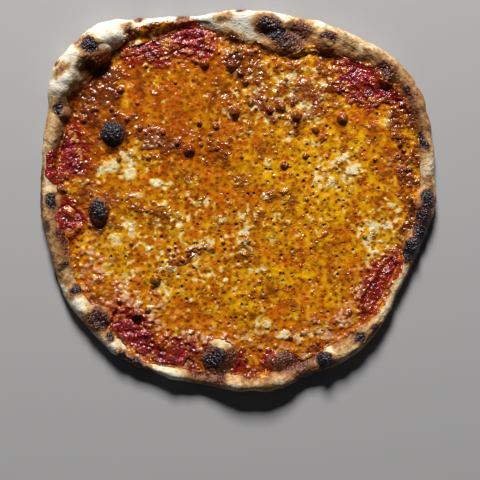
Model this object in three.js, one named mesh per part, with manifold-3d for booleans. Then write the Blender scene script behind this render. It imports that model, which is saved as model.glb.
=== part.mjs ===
// A thin wood-fired pizza, about 31 cm across, in three solids: the baked dough with its puffed and blistered
// rim, the crushed tomato spread over it, and the melted mozzarella on top, drawn back where the tomato shows.
// Millimetres, +Z up. The origin is at the middle of the flat underside.

import * as THREE from "three";
import { mergeVertices } from "three/addons/utils/BufferGeometryUtils.js";
import Module from "manifold-3d";

const wasm = await Module();
wasm.setup();

// ---------------------------------------------------------------- driving dimensions

const SECTORS = 90; // steps round the pizza
const FULL_TURN = 2 * Math.PI;
const LAYER_GAP = 0.3; // left between two layers that touch

const BASE_THICKNESS = 3.6; // of the dough under the toppings
const TOMATO_THICKNESS = 1.0; // under the cheese
const TOMATO_MOUND = 2.1; // how far the tomato swells where no cheese presses on it
const CHEESE_THICKNESS = 2.4;
const TOPPING_CLIMB = 4; // how far the toppings run up the rim's inner slope

// Once every 10 degrees, counter-clockwise from +X.
const OUTLINE_RADII = [
  153, 153.5, 159, 164, 164.5, 159.5, 154, 151, 148, 148, 147, 152, 163.5, 176, 177, 170.5, 161, 156, 155.5, 153, 153.5,
  154.5, 153.5, 154, 151, 147, 145, 147, 148.5, 146, 147.5, 148, 146.5, 142.5, 142.5, 147,
];
// Once every 15 degrees.
const RIM_WIDTHS = [18, 16, 19, 21, 25, 24, 27, 11, 24, 32, 27, 16, 18, 19, 19, 17, 12, 13, 15, 17, 20, 18, 12, 15];
const RIM_HEIGHTS = [12, 11, 12, 12, 12, 13, 12, 10, 14, 17, 16, 12, 12, 12, 13, 13, 12, 12, 14, 14, 14, 13, 11, 12];

const CREST_SHARE = 0.6; // where the rim is highest, as a share of its width from the inner foot
const INNER_BULGE = 0.55; // 0 where the rim's inner slope is straight, 1 where it is a full wave
const EDGE_SHARE = 0.42; // height of the outermost point, as a share of the rim's height
const UNDERCUT = 9; // how far in from the edge the curled underside meets the table
const RIPPLES = [
  { waves: 8, size: 0.09, phase: 0.7 },
  { waves: 13, size: 0.07, phase: 2.1 },
  { waves: 21, size: 0.05, phase: 4.0 },
]; // unevenness of the rim's height, as shares of it

// Blisters that the oven raised in the dough. Each stands at [x, y], with its size along the radius and
// across it, its height above the dough there, and how far its foot is sunk. A full one is a round bubble,
// and the others swell softly out of the rim.
const BLISTERS = [
  { name: "burnt, in the cheese", at: [-98.4, 52.7], size: [22, 22], height: 9.5, sunk: 2, full: true },
  { name: "burnt, in the cheese, lower", at: [-109, -8], size: [16, 25], height: 8.5, sunk: 2, full: true },
  { name: "brown, south-west", at: [-107, -88], size: [21, 26], height: 6.5, sunk: 3 },
  { name: "largest, south", at: [-16, -121], size: [42, 42], height: 9, sunk: 3 },
  { name: "black bead on the largest", at: [-13, -118], size: [13, 13], height: 11, sunk: 3, full: true },
  { name: "brown, south-east", at: [34, -124], size: [30, 42], height: 7, sunk: 3 },
  { name: "black bead, south-east", at: [66.7, -121], size: [14, 14], height: 4, sunk: 4, full: true },
  { name: "dark, east-south-east", at: [92, -101], size: [13, 15], height: 3, sunk: 4 },
  { name: "broad, north", at: [33, 126], size: [34, 52], height: 6, sunk: 5 },
  { name: "dark, north", at: [67, 126], size: [18, 26], height: 3, sunk: 5 },
  { name: "brown, north-east", at: [115, 97], size: [20, 21], height: 4.5, sunk: 4 },
  { name: "burnt, east", at: [142, 0], size: [16, 24], height: 3, sunk: 5 },
  { name: "burnt, east, lower", at: [134, -31], size: [15, 28], height: 4, sunk: 5 },
  { name: "dark, north-west", at: [-112, 115], size: [26, 28], height: 2, sunk: 5 },
  { name: "dark, west", at: [-137, 68], size: [14, 15], height: 3, sunk: 4 },
  { name: "ridge, west", at: [-141, -2], size: [12, 26], height: 2.5, sunk: 4 },
  { name: "cream ridge, west", at: [-135, 9], size: [28, 11], height: 3, sunk: 4 },
  { name: "cream ridge, south-south-west", at: [-41, -125], size: [22, 11], height: 4, sunk: 2 },
];

const SOFT = 1.8; // how softly the other blisters spread
const LOWEST_FOOT = 1; // no blister starts lower than this over the table

// Where the cheese drew back from the rim and the tomato shows: the middle and half the spread in degrees,
// and how far the cheese's edge lies in from the rim.
const TOMATO_WINDOWS = [
  { direction: 43, spread: 11, depth: 24 },
  { direction: 107, spread: 8, depth: 20 },
  { direction: 119, spread: 9, depth: 14 },
  { direction: 165, spread: 8, depth: 17 },
  { direction: 187, spread: 5, depth: 13 },
  { direction: 231, spread: 10, depth: 20 },
  { direction: 248, spread: 9, depth: 18 },
  { direction: 329, spread: 12, depth: 15 },
];

// Bubbles of cheese that browned and stood up, at [x, y].
const CHEESE_BUBBLES = [
  { at: [-38, 39.5], size: 7.5 },
  { at: [81, 64], size: 7 },
  { at: [-5.5, 105], size: 6.5 },
  { at: [33, 73], size: 6 },
  { at: [45, 66], size: 6 },
  { at: [-3, 69], size: 7 },
  { at: [24.5, 70.5], size: 5.5 },
  { at: [-64, -61], size: 6.5 },
  { at: [-79, -89], size: 8 },
  { at: [-26, 106], size: 6 },
];
const SMALL_BUBBLES = 18;
const SMALL_BUBBLE_SIZES = [4, 6];
const SMALL_BUBBLE_REACH = [70, 122]; // they crowd the outer half
const BUBBLE_SEED = 7;

// Long soft waves in the cheese: how many to the turn, how many along the radius, height and phase.
const CHEESE_WAVES = [
  { round: 5, out: 1.5, size: 0.35, phase: 0.4 },
  { round: 11, out: 2.6, size: 0.3, phase: 1.9 },
  { round: 19, out: 4.1, size: 0.25, phase: 5.2 },
];

// ---------------------------------------------------------------- small helpers

// A value between the ones listed at equal steps round the turn, on a smooth closed curve.
function around(values, angle) {
  const n = values.length;
  const place = ((angle / FULL_TURN) % 1) * n + n;
  const from = Math.floor(place);
  const t = place - from;
  const [a, b, c, d] = [-1, 0, 1, 2].map((k) => values[(from + k) % n]);
  return b + 0.5 * t * (c - a + t * (2 * a - 5 * b + 4 * c - d + t * (3 * (b - c) + d - a)));
}

function smoothStep(low, high, x) {
  return THREE.MathUtils.smoothstep(x, low, high);
}

// How far two directions lie apart, in degrees, from 0 to 180.
function apart(angle, degrees) {
  const turn = THREE.MathUtils.radToDeg(angle) - degrees;
  return Math.abs(THREE.MathUtils.euclideanModulo(turn + 180, 360) - 180);
}

function asSolid(geometry) {
  geometry.deleteAttribute("normal");
  geometry.deleteAttribute("uv");
  const merged = mergeVertices(geometry, 1e-3);
  const triVerts = new Uint32Array(merged.index.array);
  return new wasm.Manifold(new wasm.Mesh({ numProp: 3, vertProperties: merged.attributes.position.array, triVerts }));
}

// A closed body whose section changes with the direction. section(angle) gives [radius, height] pairs, always
// as many of them, from the middle of the underside out and over to the middle of the top.
function sweptDisc(section) {
  const count = section(0).length;
  const blank = Array.from({ length: count }, (_, k) => new THREE.Vector2(1, k));
  const geometry = new THREE.LatheGeometry(blank, SECTORS);
  const position = geometry.getAttribute("position");
  for (let i = 0; i <= SECTORS; i++) {
    const angle = ((i % SECTORS) / SECTORS) * FULL_TURN;
    section(angle).forEach(([radius, height], k) => {
      position.setXYZ(i * count + k, radius * Math.cos(angle), radius * Math.sin(angle), height);
    });
  }
  return asSolid(geometry);
}

// A dome on a flat foot, with its first width turned to the direction given. "fullness" is 1 for half a ball,
// and more for one that spreads softly into its foot.
function dome(x, y, foot, [along, across], height, { direction = 0, fullness = 1, sides, rings }) {
  const profile = [new THREE.Vector2(0, 0)];
  for (let k = 0; k <= rings; k++) {
    const rise = (k / rings) * 0.5 * Math.PI;
    profile.push(new THREE.Vector2(0.5 * Math.cos(rise), Math.sin(rise) ** fullness));
  }
  profile[rings + 1].x = 0;
  const geometry = new THREE.LatheGeometry(profile, sides);
  geometry.rotateX(0.5 * Math.PI);
  geometry.scale(along, across, height);
  geometry.rotateZ(direction);
  geometry.translate(x, y, foot);
  return asSolid(geometry);
}

function largestBody(solid) {
  return solid.decompose().sort((a, b) => b.volume() - a.volume())[0];
}

// Numbers from 0 to 1, always the same ones for the same seed.
function seededNumbers(seed) {
  let state = seed;
  return () => {
    state = (state * 16807) % 2147483647;
    return state / 2147483647;
  };
}

// ---------------------------------------------------------------- the dough

const outline = (angle) => around(OUTLINE_RADII, angle);
const rimFoot = (angle) => outline(angle) - around(RIM_WIDTHS, angle);

function rimHeight(angle) {
  const ripple = RIPPLES.reduce((sum, r) => sum + r.size * Math.sin(r.waves * angle + r.phase), 1);
  return around(RIM_HEIGHTS, angle) * ripple;
}

// How far the inner slope has risen, from 0 at the foot to 1 at the crest.
function innerRise(share) {
  return THREE.MathUtils.lerp(share, 0.5 * (1 - Math.cos(Math.PI * share)), INNER_BULGE);
}

// The height of the dough's upper side at a place.
function doughTop(x, y) {
  const angle = Math.atan2(y, x);
  const foot = rimFoot(angle);
  const crest = foot + CREST_SHARE * (outline(angle) - foot);
  const share = THREE.MathUtils.clamp((Math.hypot(x, y) - foot) / (crest - foot), 0, 1);
  return BASE_THICKNESS + (rimHeight(angle) - BASE_THICKNESS) * innerRise(share);
}

// One section of the dough, grown outwards and upwards by "grow": flat underside, curled edge, rounded rim.
function doughSection(angle, grow) {
  const edge = outline(angle) + grow;
  const foot = rimFoot(angle) - grow;
  const crest = foot + CREST_SHARE * (edge - foot);
  const base = BASE_THICKNESS + grow;
  const top = rimHeight(angle) + grow;
  const edgeHeight = EDGE_SHARE * top;
  const points = [[0, -grow]];
  for (const turn of [90, 65, 40, 15]) {
    const bend = THREE.MathUtils.degToRad(turn);
    points.push([edge - UNDERCUT * (1 - Math.cos(bend)), edgeHeight * (1 - Math.sin(bend)) - grow * Math.sin(bend)]);
  }
  for (const turn of [0, 22, 44, 66]) {
    const bend = THREE.MathUtils.degToRad(turn);
    points.push([crest + (edge - crest) * Math.cos(bend), edgeHeight + (top - edgeHeight) * Math.sin(bend)]);
  }
  for (const share of [1, 0.8, 0.6, 0.4, 0.2, 0]) {
    points.push([foot + share * (crest - foot), base + (top - base) * innerRise(share)]);
  }
  return [...points, [0, base]];
}

function blister({ at: [x, y], size, height, sunk, full }, grow) {
  const level = doughTop(x, y);
  const foot = Math.max(LOWEST_FOOT, level - sunk);
  const grown = size.map((width) => width + 2 * grow);
  const form = { direction: Math.atan2(y, x), fullness: full ? 1 : SOFT, sides: full ? 12 : 16, rings: 5 };
  return dome(x, y, foot, grown, level + height + grow - foot, form);
}

function doughSolid(grow) {
  const disc = sweptDisc((angle) => doughSection(angle, grow));
  return wasm.Manifold.union([disc, ...BLISTERS.map((b) => blister(b, grow))]);
}

// ---------------------------------------------------------------- the tomato

function cheeseEdge(angle) {
  const drawnBack = TOMATO_WINDOWS.map(
    ({ direction, spread, depth }) => depth * (1 - smoothStep(0.35 * spread, spread, apart(angle, direction))),
  );
  return rimFoot(angle) + TOPPING_CLIMB - Math.max(...drawnBack);
}

const TOMATO_FLOOR = BASE_THICKNESS + LAYER_GAP;
const TOMATO_LEVEL = TOMATO_FLOOR + TOMATO_THICKNESS;

// The tomato is level under the cheese and swells into soft lumps where it lies bare.
function tomatoSection(angle) {
  const edge = rimFoot(angle) + TOPPING_CLIMB;
  const covered = cheeseEdge(angle);
  const points = [
    [0, TOMATO_FLOOR - 1],
    [edge, TOMATO_FLOOR - 1],
    [edge, TOMATO_LEVEL],
  ];
  for (const share of [0.2, 0.4, 0.6, 0.8, 1]) {
    const radius = edge - share * (edge - covered + 3);
    const bare = smoothStep(-3, 3, radius - covered);
    const lump = 1 + 0.3 * Math.sin(27 * angle + 9 * share) + 0.2 * Math.sin(0.6 * radius);
    points.push([radius, TOMATO_LEVEL + bare * TOMATO_MOUND * lump]);
  }
  return [...points, [0, TOMATO_LEVEL]];
}

// ---------------------------------------------------------------- the cheese

const CHEESE_FLOOR = TOMATO_LEVEL + LAYER_GAP;
const CHEESE_LEVEL = CHEESE_FLOOR + CHEESE_THICKNESS;

function cheeseTop(radius, angle) {
  const wave = CHEESE_WAVES.reduce((sum, w) => {
    const swell = Math.sin(w.round * angle + w.phase) * Math.sin((w.out * FULL_TURN * radius) / 150 + w.phase);
    return sum + w.size * swell;
  }, 0);
  return CHEESE_LEVEL + wave * smoothStep(10, 80, radius);
}

function cheeseSection(angle) {
  const edge = cheeseEdge(angle);
  const points = [
    [0, CHEESE_FLOOR - 1],
    [edge, CHEESE_FLOOR - 1],
    [edge, CHEESE_FLOOR + 0.3 * CHEESE_THICKNESS],
  ];
  for (const share of [0.98, 0.94, 0.88, 0.81, 0.73, 0.64, 0.54, 0.43, 0.3, 0.16]) {
    const radius = share * edge;
    const rounding = 1 - 0.7 * smoothStep(0.93, 1.01, share);
    points.push([radius, CHEESE_FLOOR + (cheeseTop(radius, angle) - CHEESE_FLOOR) * rounding]);
  }
  return [...points, [0, CHEESE_LEVEL]];
}

// Small bubbles dealt out by a seeded draw, on the cheese and clear of its edge.
function smallBubbles() {
  const draw = seededNumbers(BUBBLE_SEED);
  const between = ([low, high]) => low + (high - low) * draw();
  return Array.from({ length: SMALL_BUBBLES }, (_, k) => {
    const angle = ((k + 0.7 * draw()) / SMALL_BUBBLES) * FULL_TURN;
    const radius = Math.min(between(SMALL_BUBBLE_REACH), cheeseEdge(angle) - 8);
    return { at: [radius * Math.cos(angle), radius * Math.sin(angle)], size: between(SMALL_BUBBLE_SIZES) };
  });
}

function cheeseBubble({ at: [x, y], size }) {
  const surface = cheeseTop(Math.hypot(x, y), Math.atan2(y, x));
  const sunk = 1.2;
  return dome(x, y, surface - sunk, [size, size], sunk + 0.36 * size, { sides: 8, rings: 3 });
}

// ---------------------------------------------------------------- the pizza

const dough = doughSolid(0);
const doughSpace = doughSolid(LAYER_GAP);
const tomatoDisc = sweptDisc(tomatoSection);
const tomato = tomatoDisc.subtract(doughSpace);
const cheeseDisc = sweptDisc(cheeseSection);
const cheeseWithBubbles = wasm.Manifold.union([
  cheeseDisc,
  ...[...CHEESE_BUBBLES, ...smallBubbles()].map(cheeseBubble),
]);
const tomatoSpace = tomatoDisc.translate([0, 0, LAYER_GAP]);
const cheese = cheeseWithBubbles.subtract(doughSpace).subtract(tomatoSpace);

const doughMaterial = new THREE.MeshStandardMaterial({ color: 0xd9b884, roughness: 0.85, metalness: 0 });
const tomatoMaterial = new THREE.MeshStandardMaterial({ color: 0x8c1c16, roughness: 0.35, metalness: 0 });
const cheeseMaterial = new THREE.MeshStandardMaterial({ color: 0xdb9412, roughness: 0.3, metalness: 0 });

function namedMesh(solid, name, material) {
  const { numProp, vertProperties, triVerts } = largestBody(solid.simplify(0.05)).getMesh();
  const position = new Float32Array((vertProperties.length / numProp) * 3);
  for (let i = 0; i < position.length / 3; i++) {
    position.set(vertProperties.subarray(i * numProp, i * numProp + 3), i * 3);
  }
  const geometry = new THREE.BufferGeometry();
  geometry.setAttribute("position", new THREE.BufferAttribute(position, 3));
  geometry.setIndex(new THREE.BufferAttribute(new Uint32Array(triVerts), 1));
  geometry.computeVertexNormals();
  const mesh = new THREE.Mesh(geometry, material);
  mesh.name = name;
  return mesh;
}

const pizza = new THREE.Group();
pizza.add(namedMesh(dough, "dough", doughMaterial));
pizza.add(namedMesh(tomato, "tomato_sauce", tomatoMaterial));
pizza.add(namedMesh(cheese, "melted_cheese", cheeseMaterial));

// The outline is uneven, so the pizza is moved until its box is centred on the origin.
const box = new THREE.Box3().setFromObject(pizza);
pizza.position.set(-0.5 * (box.min.x + box.max.x), -0.5 * (box.min.y + box.max.y), 0);

export default pizza;
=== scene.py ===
# %% [markdown]
# # A margherita pizza from a wood-fired oven
#
# The pizza is whole, about 31 cm across, and lies flat. It has three parts that the eye can tell apart: the
# baked dough with its puffed rim, the crushed tomato, and the mozzarella that melted over it. The plain
# solids of these three come from the CAD frame and give every size and place. Each is covered here by a
# finely meshed piece that follows it and adds what baking did: blisters, bubbles, pits, char and oil.

# %% Load the frame
import math

import bmesh
import bpy
import numpy as np
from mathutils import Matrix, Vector, bvhtree, kdtree, noise


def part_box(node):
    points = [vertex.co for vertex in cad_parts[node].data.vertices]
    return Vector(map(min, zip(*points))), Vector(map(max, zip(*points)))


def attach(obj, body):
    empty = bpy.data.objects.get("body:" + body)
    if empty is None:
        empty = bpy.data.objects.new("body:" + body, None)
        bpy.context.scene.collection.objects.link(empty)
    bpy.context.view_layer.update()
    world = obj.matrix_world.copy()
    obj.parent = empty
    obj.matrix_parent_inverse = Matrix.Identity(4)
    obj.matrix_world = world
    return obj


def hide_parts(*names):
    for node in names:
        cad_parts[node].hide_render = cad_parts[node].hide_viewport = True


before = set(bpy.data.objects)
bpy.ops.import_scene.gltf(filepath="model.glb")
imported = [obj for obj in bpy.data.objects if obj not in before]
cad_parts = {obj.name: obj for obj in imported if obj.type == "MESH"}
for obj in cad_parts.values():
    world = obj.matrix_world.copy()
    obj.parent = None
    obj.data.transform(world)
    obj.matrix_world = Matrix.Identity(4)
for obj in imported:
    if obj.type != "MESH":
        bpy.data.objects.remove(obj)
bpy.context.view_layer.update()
bpy.ops.object.select_all(action="DESELECT")

MM = 0.001  # Blender works in metres, and a pizza is easier to describe in millimetres
print("nodes:", sorted(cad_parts))

# %% [markdown]
# ## Helpers for shaping
#
# A pizza has no straight edge anywhere, so most of its shape is relief: each point of a fine mesh is moved a
# little. These helpers read and write all the points of a piece at once, in millimetres, which is fast
# enough to treat a hundred thousand points in a blink.


# %% Read and write the points of a piece
def points_of(piece):
    flat = np.empty(len(piece.data.vertices) * 3)
    piece.data.vertices.foreach_get("co", flat)
    return flat.reshape(-1, 3) / MM


def place_points(piece, points):
    piece.data.vertices.foreach_set("co", (points * MM).ravel())
    piece.data.update()


def normals_of(piece):
    flat = np.empty(len(piece.data.vertices) * 3)
    piece.data.vertices.foreach_get("normal", flat)
    return flat.reshape(-1, 3)


def mark(piece, name, amounts):
    """Stores one number for each point, which the piece's material reads."""
    layer = piece.data.attributes.new(name, "FLOAT", "POINT")
    layer.data.foreach_set("value", np.clip(amounts, 0, 1).astype(np.float32))


def finish_with(piece, kind, **settings):
    """Adds a modifier to the piece and applies it."""
    bpy.ops.object.select_all(action="DESELECT")
    bpy.context.view_layer.objects.active = piece
    piece.select_set(True)
    modifier = piece.modifiers.new(kind.lower(), kind)
    for name, value in settings.items():
        setattr(modifier, name, value)
    bpy.ops.object.modifier_apply(modifier=modifier.name)
    piece.select_set(False)


# %% Soft masks and random relief
NOISE_STEP = Vector((17.3, 7.1, 3.7))  # from one seed to the next, in lumps, so that no two reliefs look alike
CELL_STEP = Vector((11.9, 5.3, 2.9))  # the same for cells


def step(low, high, x):
    """0 below low, 1 above high, and a smooth rise between them."""
    t = np.clip((x - low) / (high - low), 0, 1)
    return t * t * (3 - 2 * t)


def spot(points, at, size, turn=0, soft=0.6):
    """1 in the middle of an oval spot, 0.5 at its edge and 0 well outside it. Sizes in mm, turn in degrees."""
    turned = math.radians(turn)
    x, y = points[:, 0] - at[0], points[:, 1] - at[1]
    along = (x * math.cos(turned) + y * math.sin(turned)) / (0.5 * size[0])
    across = (y * math.cos(turned) - x * math.sin(turned)) / (0.5 * size[1])
    return 1 - step(1 - soft, 1 + soft, np.hypot(along, across))


def rough(points, size, seed=0, octaves=3):
    """Random relief between about -1 and 1, with lumps as far apart as the size in mm."""
    shift = NOISE_STEP * (seed + 1)
    return np.array([noise.fractal(Vector(p) / size + shift, 1.0, 2.0, octaves) for p in points])


def strayed(points, by, size, first_seed, octaves=3):
    """The points moved about at random by so many mm, which gives an oval drawn on them a wavy outline."""
    seeds = range(first_seed, first_seed + 3)
    return points + np.multiply(by, np.stack([rough(points, size, seed, octaves) for seed in seeds], 1))


def cells(points, size, seed=0):
    """Distance to the nearest of many random seeds, and how far the point is from the line between two."""
    shift = CELL_STEP * (seed + 1)
    near = np.array([noise.voronoi(Vector(p) / size + shift)[0][:2] for p in points])
    return near[:, 0], near[:, 1] - near[:, 0]


# %% [markdown]
# ## Where the rim is
#
# Everything on the dough depends on how far out it lies: oil and tomato stain the foot of the rim, the crest
# browns, and the outside stays floury. So the outline and the foot are read off the CAD solids, once for
# each few degrees round the pizza.

# %% Outline of the dough and edge of the toppings, by direction
DIRECTIONS = 90  # round the pizza, one every four degrees
TOPPING_CLIMB = 4  # mm that the toppings run up the rim
FADE = (0.4, 1.6)  # where a bump round the pizza starts to fade and where it is gone, as shares of its spread


def angle_of(points):
    """The direction of each point from the middle, in degrees from -180 to 180."""
    return np.degrees(np.arctan2(points[:, 1], points[:, 0]))


def radius_of(points):
    """How far each point is from the middle, in mm."""
    return np.hypot(points[:, 0], points[:, 1])


def reach_of(node):
    """The radius at which a CAD node ends in each direction."""
    at = points_of(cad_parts[node])
    slot = np.round((angle_of(at) % 360) / 360 * DIRECTIONS).astype(int) % DIRECTIONS
    radius = radius_of(at)
    return np.array([radius[slot == k].max() for k in range(DIRECTIONS)])


def by_direction(values, points):
    """What was measured in each direction, read for each point."""
    directions = np.arange(DIRECTIONS + 1) * 360 / DIRECTIONS
    return np.interp(angle_of(points) % 360, directions, np.append(values, values[0]))


def towards(points, bumps):
    """Adds up soft bumps round the pizza, each with its direction and spread in degrees and its strength."""
    angle = angle_of(points)
    total = np.zeros(len(points))
    for direction, spread, strength in bumps:
        away = np.abs((angle - direction + 180) % 360 - 180) / spread
        total += strength * (1 - step(*FADE, away))
    return total


def on_rim_at(direction, radius):
    """The x and y of a place that is given by its direction in degrees and its distance from the middle."""
    return radius * math.cos(math.radians(direction)), radius * math.sin(math.radians(direction))


outline = reach_of("dough")
topping_edge = reach_of("tomato_sauce")
rim_foot = topping_edge - TOPPING_CLIMB


def rim_share(points):
    """0 at the foot of the rim and 1 at the outline."""
    foot = by_direction(rim_foot, points)
    return (radius_of(points) - foot) / (by_direction(outline, points) - foot)


print(f"outline {outline.min():.0f} to {outline.max():.0f} mm from the middle")

# %% [markdown]
# ## The dough
#
# The rim is a ring of air-filled dough. It could be sculpted from a torus, but the CAD solid already has its
# sections and its main blisters, only with flat facets. A voxel remesh turns a copy of it into an even skin
# of small squares, smoothing melts the facets away, and relief is then pushed out of that skin.

# %% An even skin over the dough
SKIN = 0.8  # mm between the points of the skin
UNDERSIDE = 0.3  # mm above the table, just over the underside
BASE_TOP = 3.9  # mm above the table, just over the flat part that the toppings lie on
MELTINGS = 14  # rounds of smoothing, which take the facets away and leave the blisters


def copy_of(node, name):
    """A copy of a CAD node as a piece of its own, with its doubled points merged."""
    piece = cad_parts[node].copy()
    piece.data = piece.data.copy()
    piece.name = piece.data.name = name
    piece.parent = None
    for key in list(piece.keys()):
        del piece[key]
    bpy.context.scene.collection.objects.link(piece)
    finish_with(piece, "WELD", merge_threshold=0.01 * MM)
    return piece


crust = copy_of("dough", "baked_crust")
finish_with(crust, "REMESH", mode="VOXEL", voxel_size=SKIN * MM)
skin = points_of(crust)
flat_part = (skin[:, 2] < UNDERSIDE) | ((skin[:, 2] < BASE_TOP) & (rim_share(skin) < -0.2))
shown = crust.vertex_groups.new(name="shown")
shown.add(np.nonzero(~flat_part)[0].tolist(), 1.0, "REPLACE")
finish_with(crust, "SMOOTH", factor=0.5, iterations=MELTINGS, vertex_group="shown")
print(f"crust skin: {len(crust.data.vertices)} points")

# %% [markdown]
# ## Blisters and char
#
# Where the dough was thin over a gas bubble it rose into a blister, and the flame burnt its top first. The
# blisters are the most telling marks of this pizza, so each has its own place, size, colour and height in
# one list. Brown comes first, then char: a burnt spot always has a brown border.

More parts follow.
